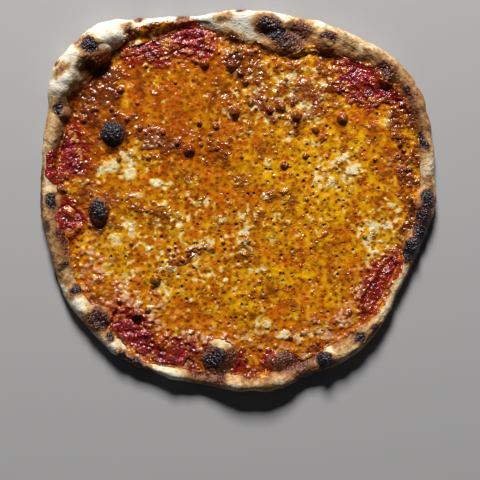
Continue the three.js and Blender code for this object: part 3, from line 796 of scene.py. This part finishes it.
# %% Curds and boiled lumps
LUMP = 4.4  # mm between the lumps of boiled cheese
LUMP_REACH = 0.62  # radius of a lump, as a share of that
LUMP_MOST = {"brown": 0.5, "rosy": 0.9}  # how strongly the cheese boiled in each zone

wavy = strayed(at, (2.0, 2.0, 0), 6, first_seed=27, octaves=2)
white = np.max([how_white * spot(wavy, place, size, turn) for place, size, turn, how_white in CURDS], axis=0)
curds = np.clip(1.25 * white + 0.35 * rough(at, 3, seed=31, octaves=2), 0, 1) * step(0.1, 0.35, white)
boiled = np.max([most * zones[name] for name, most in LUMP_MOST.items()], axis=0)
boiled = np.clip(boiled - 0.1 + 0.6 * rough(at, 9, seed=30, octaves=2), 0, 1) * (1 - 0.6 * zones["deep"])
near = cells(wavy, LUMP, seed=2)[0]
boil = boiled * np.clip(1 - (near / LUMP_REACH) ** 2, 0, 1)
print(f"boiled lumps on {(boil > 0.3).mean():.0%} of the cheese")

# %% Shape the cheese
SWELL = [(0.6, 30, 13), (0.55, 9, 14)]  # mm high, mm apart, seed
BOIL_HEIGHT = 1.3  # mm
CURD_HEIGHT = 0.7  # mm
CHEESE_THIN = 0.7  # mm below the tomato's surface, where the sheet has ended in a bare place
CHEESE_FILM = 0.5  # mm of cheese on the dough where it climbs the rim
CHEESE_UNDER = 1.5  # mm under the dough's skin, where the film has ended

even = smoothed(np.where(inside, level, np.nan), row, column, 40)
body = np.where(inside, even, np.nanmedian(level))
body += sum(height * rough(at, size, seed, octaves=2) for height, size, seed in SWELL)
body += (0.16 + 0.3 * boiled) * rough(at, 4, seed=15) + BOIL_HEIGHT * boil + CURD_HEIGHT * curds + dome
thin = step(-4.5, 2.5, from_window + 0.8 * wobble)
sheet = (tomato_level - CHEESE_THIN) * (1 - thin) + body * thin
sheet = np.where(np.isnan(sheet), body, sheet)
film = (CHEESE_FILM + CHEESE_UNDER) * step(-2.6, 1.2, to_edge + 0.25 * wobble)
film += dough_level - CHEESE_UNDER - off_blisters(at, dough_level, 7.0)
film += 0.3 * rough(at, 4, seed=17) + 0.5 * dome + 0.4 * boil
cheese_height = soft_max(sheet, film, 0.7)
place_points(cheese, np.column_stack([at[:, :2], cheese_height]))
print(f"cheese: up to {cheese_height[inside].max():.1f} mm above the table")

# %% Marks for the cheese's colours, and its closed shape
CHEESE_CUT = -3.2  # mm outside its edge, where the sheet is cut, well under the dough's skin

browned_edge = (0.75 - 0.5 * zones["rosy"]) * (1 - step(1.5, 9, to_edge + 0.6 * wobble))
cheese_marks = {
    **zones,
    "pits": zones["pits"] * step(2, 8, to_edge),
    "brown": np.maximum(zones["brown"], browned_edge),
    "stain": 1 - step(-2.5, 12, from_window + 0.9 * wobble),
    "bubble": step(0.3, 0.9, dome),
    "boil": boil,
    "curd": curds,
}
for name, amounts in cheese_marks.items():
    mark(cheese, name, amounts)
kept = inside | on_blister | ((to_edge > CHEESE_CUT) & may_lie(at, dough_level))
close_below(cheese, kept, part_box("melted_cheese")[0].z / MM)
print(f"cheese: {len(cheese.data.polygons)} triangles")

# %% [markdown]
# ## Finishes
#
# Each material is a chain of nodes: a colour for each thing that baking does, laid over the one before where
# a pattern or a mark on the points says so. Patterns read the object's own coordinates, and their scales are
# worked out from sizes in millimetres.


# %% Helpers for materials
def colour(hex_code):
    """An sRGB colour such as "#e9d9b4" as the linear values that shaders use."""
    parts = [int(hex_code[k : k + 2], 16) / 255 for k in (1, 3, 5)]
    return (*(c / 12.92 if c <= 0.04045 else ((c + 0.055) / 1.055) ** 2.4 for c in parts), 1.0)


def per(size):
    """The scale of a pattern whose features are the given millimetres apart."""
    return 1 / (size * MM)


def add(tree, kind, inputs=(), out=None, **settings):
    """Adds a shader node with its settings and links, and returns one of its outputs."""
    node = tree.nodes.new("ShaderNode" + kind)
    for name, value in settings.items():
        setattr(node, name, value)
    for name, value in dict(inputs).items():
        socket = node.inputs[name] if isinstance(name, int) else next(
            s for s in node.inputs if s.name == name and s.enabled
        )
        if isinstance(value, bpy.types.NodeSocket):
            tree.links.new(value, socket)
        else:
            socket.default_value = value
    return next((s for s in node.outputs if s.enabled and out in (None, s.name)), None)


def new_material(name, piece):
    material = bpy.data.materials.new(name)
    material.use_nodes = True
    material.node_tree.nodes.clear()
    piece.data.materials.clear()
    piece.data.materials.append(material)
    return material.node_tree


# %% [markdown]
# ### Baked crust
#
# Dough of white flour and water, baked in a minute or two. Its colour runs from cream over gold and brown to
# black, mostly by how hot each spot became, with paler and darker tones by direction round the rim that are
# painted light and shade. It is matt, dusted with flour outside, oily at its foot.

# %% Crust material: patterns and marks
tree = new_material("wood_fired_crust", crust)
where = add(tree, "TexCoord", out="Object")
# Patches of heat are 13 mm apart, freckles 3 mm, grains of flour about 1 mm and pores 2 mm
mottle = add(tree, "TexNoise", {"Vector": where, "Scale": per(13), "Detail": 4.0, "Roughness": 0.6})
freckle = add(tree, "TexNoise", {"Vector": where, "Scale": per(3.0), "Detail": 3.0, "Roughness": 0.6})
fine = add(tree, "TexNoise", {"Vector": where, "Scale": per(1.1), "Detail": 2.0})
pores = add(tree, "TexVoronoi", {"Vector": where, "Scale": per(1.9)}, out="Distance")
baked, charred, floury_and_painted_light, oily = (
    add(tree, "Attribute", attribute_name=name, out="Fac") for name in ("brown", "char", "flour_and_painted_light", "oil")
)

# %% Crust material: colour by heat
DOUGH_SHADES = [  # (from heat, to heat, colour reached)
    (0.14, 0.40, "#d9b47c"),
    (0.36, 0.64, "#a4703c"),
    (0.60, 0.90, "#683420"),
    (0.90, 1.25, "#3e1a14"),
]
# A sum of patterns, each times its weight: every step multiplies one and adds what came before
uneven = -0.5
for pattern, weight in ((mottle, 0.6), (freckle, 0.8)):
    uneven = add(tree, "Math", {0: pattern, 1: weight, 2: uneven}, operation="MULTIPLY_ADD")
heat = add(tree, "Math", {0: baked, 1: uneven}, operation="ADD")
# Layers of colour: each covers the one before where its amount says so
shade = colour("#efe4c6")
for low, high, reached in DOUGH_SHADES:
    amount = add(tree, "MapRange", {"Value": heat, "From Min": low, "From Max": high})
    shade = add(tree, "Mix", {"Factor": amount, "A": shade, "B": colour(reached)}, data_type="RGBA")

# %% Crust material: flour, oil and char
unbaked = add(tree, "MapRange", {
    "Value": heat, "From Min": 0.15, "From Max": 0.5, "To Min": 1.0, "To Max": 0.0
})
# The flour dusting, which on the north and north-west rim is partly painted light
dusting_and_painted_light = floury_and_painted_light
for pattern in (unbaked, freckle):
    dusting_and_painted_light = add(tree, "Math", {0: dusting_and_painted_light, 1: pattern}, operation="MULTIPLY")
dusting_and_painted_light = add(tree, "MapRange", {"Value": dusting_and_painted_light, "From Min": 0.1, "From Max": 0.5, "To Max": 0.75})
soaked = add(tree, "Math", {0: oily, 1: mottle}, operation="MULTIPLY")
soaked = add(tree, "MapRange", {"Value": soaked, "From Min": 0.12, "From Max": 0.5, "To Max": 0.85})
burnt = charred
for pattern, weight in ((freckle, 0.7), (fine, 0.5)):
    burnt = add(tree, "Math", {0: pattern, 1: weight, 2: burnt}, operation="MULTIPLY_ADD")
burnt = add(tree, "MapRange", {
    "Value": burnt, "From Min": 0.85, "From Max": 1.3
}, interpolation_type="SMOOTHSTEP")
# Ash specks on the char, pale and lilac so that they also serve as painted glints on its grain
ash_and_painted_glint = add(tree, "MapRange", {"Value": fine, "From Min": 0.52, "From Max": 0.7})
soot_and_painted_glint = add(tree, "Mix", {"Factor": ash_and_painted_glint, "A": colour("#130f14"), "B": colour("#6f5a68")}, data_type="RGBA")
for amount, paint in ((dusting_and_painted_light, colour("#f8f5ec")), (soaked, colour("#a85c10")), (burnt, soot_and_painted_glint)):
    shade = add(tree, "Mix", {"Factor": amount, "A": shade, "B": paint}, data_type="RGBA")

# %% Crust material: grain and shine
CRUST_RELIEF = 0.8  # mm

blistered = add(tree, "MapRange", {"Value": heat, "From Min": 0.6, "From Max": 1.0})
gloss = add(tree, "Math", {0: soaked, 1: blistered}, operation="MAXIMUM")
gloss = add(tree, "MapRange", {"Value": gloss, "To Min": 0.75, "To Max": 0.3})
grit = add(tree, "Math", {0: pores, 1: 2.0}, operation="POWER")
grit = add(tree, "Math", {0: grit, 1: blistered}, operation="MULTIPLY")
relief = freckle
for pattern, weight in ((grit, -1.5), (fine, 0.6)):
    relief = add(tree, "Math", {0: pattern, 1: weight, 2: relief}, operation="MULTIPLY_ADD")
bumps = add(tree, "Bump", {"Height": relief, "Distance": CRUST_RELIEF * MM, "Strength": 1.0})
surface = add(tree, "BsdfPrincipled", {"Base Color": shade, "Roughness": gloss, "Normal": bumps})
add(tree, "OutputMaterial", {"Surface": surface})
print("crust finish:", len(tree.nodes), "nodes")

# %% [markdown]
# ### Crushed tomato
#
# Cooked tomato pulp is dark crimson and wet: the colour is deep, and a film of juice and oil on it gives
# sharp highlights. Its raised pulp is painted pale pink, partly lighter flesh and partly painted highlight.

# %% Tomato material: colour
tree = new_material("cooked_tomato_pulp", tomato)
where = add(tree, "TexCoord", out="Object")
# Lumps of pulp are 7.5 mm apart, fibres 2 mm, soft raised pulp that is painted paler 9 mm and drops of oil 11
# mm
pulp = add(tree, "TexNoise", {
    "Vector": where, "Scale": per(7.5), "Detail": 5.0, "Roughness": 0.65, "Distortion": 0.8
})
fibre = add(tree, "TexNoise", {"Vector": where, "Scale": per(1.8), "Detail": 3.0, "Distortion": 1.2})
soft = add(tree, "TexNoise", {"Vector": where, "Scale": per(9), "Detail": 3.0, "Roughness": 0.6})
oiled = add(tree, "TexNoise", {"Vector": where, "Scale": per(11), "Detail": 3.0})
smeared = add(tree, "Attribute", attribute_name="smeared", out="Fac")

deep = add(tree, "MapRange", {"Value": pulp, "From Min": 0.35, "From Max": 0.65})
shade = add(tree, "Mix", {"Factor": deep, "A": colour("#460a08"), "B": colour("#ae2224")}, data_type="RGBA")
# Paler pink where the pulp is raised: partly lighter flesh, partly painted highlight
pale = add(tree, "Math", {0: fibre, 1: 0.6, 2: soft}, operation="MULTIPLY_ADD")
border = add(tree, "Math", {0: pulp, 1: 1.2, 2: smeared}, operation="MULTIPLY_ADD")
cheesy = add(tree, "Math", {0: fibre, 1: 0.8, 2: border}, operation="MULTIPLY_ADD")
TOMATO_SHADES = [  # (pattern, from, to, how much it covers, colour)
    (pale, 0.82, 1.06, 0.6, "#c24454"),
    (oiled, 0.47, 0.64, 0.8, "#a8380c"),
    (border, 1.0, 1.4, 0.85, "#a6480e"),
    (cheesy, 1.7, 2.0, 0.8, "#d98c34"),
]
for pattern, low, high, most, paint in TOMATO_SHADES:
    amount = add(tree, "MapRange", {"Value": pattern, "From Min": low, "From Max": high, "To Max": most})
    shade = add(tree, "Mix", {"Factor": amount, "A": shade, "B": colour(paint)}, data_type="RGBA")

# %% Tomato material: wet relief
TOMATO_RELIEF = 1.3  # mm
TOMATO_ROUGHNESS = 0.22  # a film of juice, not quite smooth
TOMATO_SHINE = 0.75  # how strongly juice and oil mirror the light, where 0.5 is usual

strings = add(tree, "TexNoise", {"Vector": where, "Scale": per(3.4), "Detail": 1.0, "Distortion": 1.0})
relief = strings
for pattern, weight in ((soft, 3.4), (fibre, 0.15)):
    relief = add(tree, "Math", {0: pattern, 1: weight, 2: relief}, operation="MULTIPLY_ADD")
bumps = add(tree, "Bump", {"Height": relief, "Distance": TOMATO_RELIEF * MM, "Strength": 1.0})
surface = add(tree, "BsdfPrincipled", {
    "Base Color": shade, "Roughness": TOMATO_ROUGHNESS, "Specular IOR Level": TOMATO_SHINE, "Normal": bumps
})
add(tree, "OutputMaterial", {"Surface": surface})
print("tomato finish:", len(tree.nodes), "nodes")

# %% [markdown]
# ### Melted mozzarella
#
# Fresh cheese is white. Here its fat has separated and carries the tomato's colour, so it reads golden and
# orange. Cream curds and flecks lie between, the skin is browned in beads and bubbles, boiled lumps have
# rosy sides and pale tops that are partly painted highlight, and steam left small pits whose black middles
# are painted shade. The oil on top makes it shine.

# %% Cheese material: patterns
STRAY = 1.4  # mm that pits and beads lie off their even places
CELL = 4.8  # mm between the hollows that steam left
BEAD = 3.1  # mm between the beads of the browned skin

tree = new_material("melted_mozzarella_in_oil", cheese)
where = add(tree, "TexCoord", out="Object")
marks = {name: add(tree, "Attribute", attribute_name=name, out="Fac") for name in cheese_marks}
# From pools of fat 24 mm apart down to the grain of the skin, a little over 1 mm
broad = add(tree, "TexNoise", {"Vector": where, "Scale": per(24), "Detail": 3.0, "Roughness": 0.6})
stew = add(tree, "TexNoise", {"Vector": where, "Scale": per(13), "Detail": 2.0, "Roughness": 0.5})
curd = add(tree, "TexNoise", {
    "Vector": where, "Scale": per(6), "Detail": 4.0, "Roughness": 0.6, "Distortion": 0.6
})
patch = add(tree, "TexNoise", {"Vector": where, "Scale": per(11), "Detail": 3.0, "Roughness": 0.55})
speck = add(tree, "TexNoise", {"Vector": where, "Scale": per(3.3), "Detail": 2.0, "Roughness": 0.5})
fine = add(tree, "TexNoise", {"Vector": where, "Scale": per(1.3), "Detail": 2.0})
shift = add(tree, "TexNoise", {"Vector": where, "Scale": per(2.6), "Detail": 2.0}, out="Color")
shift = add(tree, "VectorMath", {0: shift, 1: (-0.5, -0.5, -0.5)}, operation="ADD")
uneven = add(tree, "VectorMath", {0: shift, 1: (STRAY * MM,) * 3, 2: where}, operation="MULTIPLY_ADD")
bead = add(tree, "TexVoronoi", {"Vector": uneven, "Scale": per(BEAD)}, out="Distance", voronoi_dimensions="2D")
bead_tint = add(tree, "SeparateColor", {"Color": bead.node.outputs["Color"]}, out="Red")
cell = add(tree, "TexVoronoi", {"Vector": uneven, "Scale": per(CELL)}, out="Distance", voronoi_dimensions="2D")
from_middle = add(tree, "Math", {0: cell, 1: CELL}, operation="MULTIPLY")
draws = add(tree, "SeparateColor", {"Color": cell.node.outputs["Color"]}, out="Red").node.outputs
hollow = add(tree, "MapRange", {
    "Value": from_middle, "From Min": 0.2, "From Max": 1.9, "To Min": 1.0, "To Max": 0.0
}, interpolation_type="SMOOTHSTEP")
ridge = add(tree, "MapRange", {"Value": from_middle, "From Min": 1.6, "From Max": 3.0})

# %% Cheese material: gold, orange and the brown of the hollows
golden = -1.0
for pattern, weight in ((broad, 2.2), (marks["yellow"], 0.55), (ridge, 0.3), (curd, 1.6)):
    golden = add(tree, "Math", {0: pattern, 1: weight, 2: golden}, operation="MULTIPLY_ADD")
golden = add(tree, "MapRange", {"Value": golden, "From Min": 0.85, "From Max": 1.6})
shade = add(tree, "Mix", {"Factor": golden, "A": colour("#d46c02"), "B": colour("#f4b60a")}, data_type="RGBA")
for low, high, most, paint in ((0.5, 0.62, 0.65, "#ac5202"), (0.61, 0.7, 0.75, "#742e04")):
    amount = add(tree, "MapRange", {"Value": stew, "From Min": low, "From Max": high, "To Max": most})
    shade = add(tree, "Mix", {"Factor": amount, "A": shade, "B": colour(paint)}, data_type="RGBA")
# The deep zone darkens the colour: deeper fat, and at the foot of the north-west rim painted shade
deeper = add(tree, "Mix", {
    "Factor": 1.0, "A": shade, "B": colour("#e0c0a0")
}, data_type="RGBA", blend_type="MULTIPLY")
shade = add(tree, "Mix", {"Factor": marks["deep"], "A": shade, "B": deeper}, data_type="RGBA")
seared = add(tree, "MapRange", {"Value": draws["Red"], "From Min": 0.1, "From Max": 0.7})
seared = add(tree, "Math", {0: seared, 1: hollow}, operation="MULTIPLY")
freckled = add(tree, "MapRange", {"Value": speck, "From Min": 0.43, "From Max": 0.35, "To Max": 0.7})
for amount, paint in ((seared, "#7e3a02"), (freckled, "#984e02")):
    shade = add(tree, "Mix", {"Factor": amount, "A": shade, "B": colour(paint)}, data_type="RGBA")

# %% Cheese material: cream where the curd stayed dry
cloud = add(tree, "TexNoise", {"Vector": where, "Scale": per(10), "Detail": 1.0})
fleck = add(tree, "TexNoise", {"Vector": uneven, "Scale": per(4.2), "Detail": 1.0})
creamy = add(tree, "Math", {0: marks["cream"], 1: 0.38}, operation="MULTIPLY")
for pattern, weight in ((cloud, 1.0), (fleck, 1.3), (ridge, 0.06)):
    creamy = add(tree, "Math", {0: pattern, 1: weight, 2: creamy}, operation="MULTIPLY_ADD")
creamy = add(tree, "MapRange", {"Value": creamy, "From Min": 1.42, "From Max": 1.76})
creamy = add(tree, "Math", {0: creamy, 1: marks["curd"]}, operation="MAXIMUM")
for low, high, most, paint in ((0.0, 0.5, 0.85, "#f4c23c"), (0.35, 0.9, 0.92, "#fcecc0")):
    amount = add(tree, "MapRange", {"Value": creamy, "From Min": low, "From Max": high, "To Max": most})
    shade = add(tree, "Mix", {"Factor": amount, "A": shade, "B": colour(paint)}, data_type="RGBA")

# %% Cheese material: browned skin, boiled lumps, tomato juice and held bubbles
toast = -1.3
for pattern, weight in ((patch, 2.6), (bead_tint, 0.3), (hollow, 0.2), (marks["brown"], 1.05)):
    toast = add(tree, "Math", {0: pattern, 1: weight, 2: toast}, operation="MULTIPLY_ADD")
brown = add(tree, "MapRange", {"Value": toast, "From Min": 0.4, "From Max": 0.9, "To Max": 0.88})
dark = add(tree, "MapRange", {"Value": toast, "From Min": 0.8, "From Max": 1.25, "To Max": 0.85})
blush = add(tree, "Math", {0: patch, 1: 2.4, 2: -1.0}, operation="MULTIPLY_ADD")
blush = add(tree, "Math", {0: marks["rosy"], 1: blush}, operation="MULTIPLY", use_clamp=True)
# Pale tops of the boiled lumps: partly dry curd, partly a painted highlight on their tops
top = add(tree, "Math", {0: curd, 1: 1.2, 2: marks["boil"]}, operation="MULTIPLY_ADD")
top = add(tree, "MapRange", {"Value": top, "From Min": 0.78, "From Max": 1.2, "To Max": 0.9})
top = add(tree, "Math", {0: top, 1: marks["rosy"]}, operation="MULTIPLY")
juice = marks["stain"]
for pattern, weight in ((bead_tint, 0.35), (speck, 0.5)):
    juice = add(tree, "Math", {0: pattern, 1: weight, 2: juice}, operation="MULTIPLY_ADD")
red = add(tree, "MapRange", {"Value": juice, "From Min": 0.88, "From Max": 1.25, "To Max": 0.9})
juice = add(tree, "MapRange", {"Value": juice, "From Min": 0.5, "From Max": 1.0, "To Max": 0.85})
held = add(tree, "Math", {0: marks["bubble"], 1: 0.75}, operation="MULTIPLY")
BROWNED_SHADES = [
    (brown, "#944806"), (dark, "#46100a"), (blush, "#b8561c"), (top, "#f2c096"),
    (juice, "#a83a0c"), (red, "#841418"), (held, "#6c280c"),
]
for amount, paint in BROWNED_SHADES:
    shade = add(tree, "Mix", {"Factor": amount, "A": shade, "B": colour(paint)}, data_type="RGBA")

# %% Cheese material: pits
# The black middle of a pit is painted shade at the bottom of the hole
PIT_CORE = 0.52  # mm, radius of the black middle of a pit
CORE_EDGE = (0.7, 1.35)  # where the black starts to fade and where it ends, as shares of that radius
PIT_REACH = 1.7  # mm, radius of its sloping wall
PIT_SIZES = (0.6, 1.35)  # the smallest and the largest pit, against these sizes

likely = add(tree, "MapRange", {
    "Value": patch, "From Min": 0.38, "From Max": 0.6, "To Min": 0.36, "To Max": 0.03
})
likely = add(tree, "Math", {0: marks["pits"], 1: likely}, operation="MULTIPLY")
open_pit = add(tree, "Math", {0: likely, 1: draws["Green"]}, operation="SUBTRACT")
open_pit = add(tree, "MapRange", {"Value": open_pit, "From Max": 0.04})
pit_size = add(tree, "MapRange", {"Value": draws["Blue"], "To Min": PIT_SIZES[0], "To Max": PIT_SIZES[1]})
away = add(tree, "Math", {0: from_middle, 1: pit_size}, operation="DIVIDE")
core = add(tree, "MapRange", {
    "Value": away, "From Min": CORE_EDGE[0] * PIT_CORE, "From Max": CORE_EDGE[1] * PIT_CORE,
    "To Min": 1.0, "To Max": 0.0
})
wall = add(tree, "MapRange", {
    "Value": away, "From Max": PIT_REACH, "To Min": 1.0, "To Max": 0.0
}, interpolation_type="SMOOTHSTEP")
core, wall = (add(tree, "Math", {0: part, 1: open_pit}, operation="MULTIPLY") for part in (core, wall))
pale_wall = add(tree, "MapRange", {"Value": wall, "From Min": 0.1, "From Max": 0.4})
dry = add(tree, "MapRange", {"Value": curd, "From Min": 0.42, "From Max": 0.6, "To Max": 0.75})
pale_wall = add(tree, "Math", {0: pale_wall, 1: dry}, operation="MULTIPLY")
# Pale walls of the pits, then their black middles, which are painted shade
for amount, paint in ((pale_wall, "#f8d68c"), (core, "#140502")):
    shade = add(tree, "Mix", {"Factor": amount, "A": shade, "B": colour(paint)}, data_type="RGBA")

# %% Cheese material: relief and shine
CHEESE_RELIEF = 1.0  # mm
CHEESE_SHINE = 0.55  # how strongly oil mirrors the light, where 0.5 is usual

# The skin is wet and ruffled where it browned and where juice reached it, and calmer in the deep zone, which
# is deeper fat and, at the foot of the north-west rim, painted shade
wet = brown
for amount in (juice, held, blush):
    wet = add(tree, "Math", {0: wet, 1: amount}, operation="MAXIMUM")
gloss = add(tree, "MapRange", {"Value": wet, "To Min": 0.24, "To Max": 0.19})
calm = add(tree, "MapRange", {"Value": marks["deep"], "To Min": 1.0, "To Max": 0.55})
calm = add(tree, "Math", {0: calm, 1: wet}, operation="MULTIPLY")
ruffled = add(tree, "MapRange", {"Value": calm, "To Min": 0.12, "To Max": 1.2})
beads = add(tree, "Math", {0: bead, 1: 2.0}, operation="POWER")
lumpy = add(tree, "Math", {0: calm, 1: 1.5}, operation="POWER")
beads = add(tree, "Math", {0: beads, 1: lumpy}, operation="MULTIPLY")
relief = stew
for pattern, weight in ((speck, 0.7), (fleck, 1.0), (fine, 0.1)):
    relief = add(tree, "Math", {0: pattern, 1: weight, 2: relief}, operation="MULTIPLY_ADD")
relief = add(tree, "Math", {0: relief, 1: ruffled}, operation="MULTIPLY")
for pattern, weight in ((hollow, -0.22), (beads, -1.5), (wall, -1.3)):
    relief = add(tree, "Math", {0: pattern, 1: weight, 2: relief}, operation="MULTIPLY_ADD")
bumps = add(tree, "Bump", {"Height": relief, "Distance": CHEESE_RELIEF * MM, "Strength": 1.0})
surface = add(tree, "BsdfPrincipled", {
    "Base Color": shade, "Roughness": gloss, "Specular IOR Level": CHEESE_SHINE, "Normal": bumps
})
add(tree, "OutputMaterial", {"Surface": surface})
print("cheese finish:", len(tree.nodes), "nodes")

# %% [markdown]
# ## Hand the pieces to the frame
#
# Each piece stands for one CAD node and rides with the one body that the pizza is.

# %% Ride with the body and replace the CAD node
for piece, node in ((crust, "dough"), (tomato, "tomato_sauce"), (cheese, "melted_cheese")):
    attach(piece, "root")
    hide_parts(node)
    print(piece.name, "stands for", node)

# %% [markdown]
# ## Floor, light and camera
#
# The pizza is seen from straight above, so only light shows its relief: one soft window of light from the
# far side, low over the table and a little to the left, and a dim even sky that keeps the shadows readable.
# The floor is a plain pale matt board that catches the shadow.

# %% Floor
FLOOR_SIZE = 3.0  # metres, far wider than what the camera above sees
FLOOR_GAP = 0.2  # mm below the pizza, so that the two never share a surface

bpy.ops.object.select_all(action="DESELECT")
floor_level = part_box("dough")[0].z - FLOOR_GAP * MM
bpy.ops.mesh.primitive_plane_add(size=FLOOR_SIZE, location=(0, 0, floor_level))
floor = bpy.context.object
floor.name = "floor"
tree = new_material("pale_matt_floor", floor)
surface = add(tree, "BsdfPrincipled", {"Base Color": colour("#b4b4b6"), "Roughness": 0.8})
add(tree, "OutputMaterial", {"Surface": surface})
print(f"floor at {floor_level / MM:.1f} mm")

# %% Light
KEY_AWAY = 2.4  # metres from the pizza
KEY_HEIGHT = 33  # degrees above the table
KEY_TURN = -5  # degrees from straight behind the pizza, negative to the left
KEY_SIZE = 0.6  # metres
KEY_POWER = 87  # watts
KEY_COLOUR = (1.0, 0.98, 0.95)  # barely warm
SKY_COLOUR = (0.86, 0.93, 1.0, 1.0)  # barely blue
SKY_STRENGTH = 0.02

up, turn = math.radians(KEY_HEIGHT), math.radians(KEY_TURN)
towards_key = Vector((math.sin(turn) * math.cos(up), math.cos(turn) * math.cos(up), math.sin(up)))
key = bpy.data.objects.new("key_light", bpy.data.lights.new("key_light", "AREA"))
key.data.size = KEY_SIZE
key.data.energy = KEY_POWER
key.data.color = KEY_COLOUR
key.location = towards_key * KEY_AWAY
key.rotation_euler = towards_key.to_track_quat("Z", "Y").to_euler()
bpy.context.scene.collection.objects.link(key)

world = bpy.data.worlds.new("soft_sky")
world.use_nodes = True
background = world.node_tree.nodes["Background"]
background.inputs["Color"].default_value = SKY_COLOUR
background.inputs["Strength"].default_value = SKY_STRENGTH
bpy.context.scene.world = world
bpy.context.scene.view_settings.view_transform = "Standard"
print(f"key light: {KEY_POWER} W from {KEY_AWAY} m away")

# %% Camera
VIEW_WIDTH = 372  # mm of the table that the view takes in
VIEW_CENTRE = (1.5, -30.2)  # mm from the middle of the pizza
VIEW_LEVEL = 8  # mm above the table, where the view is that wide: about the level of the toppings
LENS = 85  # mm, on a sensor 36 mm wide

camera = bpy.data.objects.new("camera", bpy.data.cameras.new("camera"))
camera.data.lens = LENS
distance = VIEW_WIDTH * MM * LENS / camera.data.sensor_width
camera.location = (VIEW_CENTRE[0] * MM, VIEW_CENTRE[1] * MM, distance + VIEW_LEVEL * MM)
bpy.context.scene.collection.objects.link(camera)
bpy.context.scene.camera = camera
print(f"camera {distance:.2f} m above the pizza")
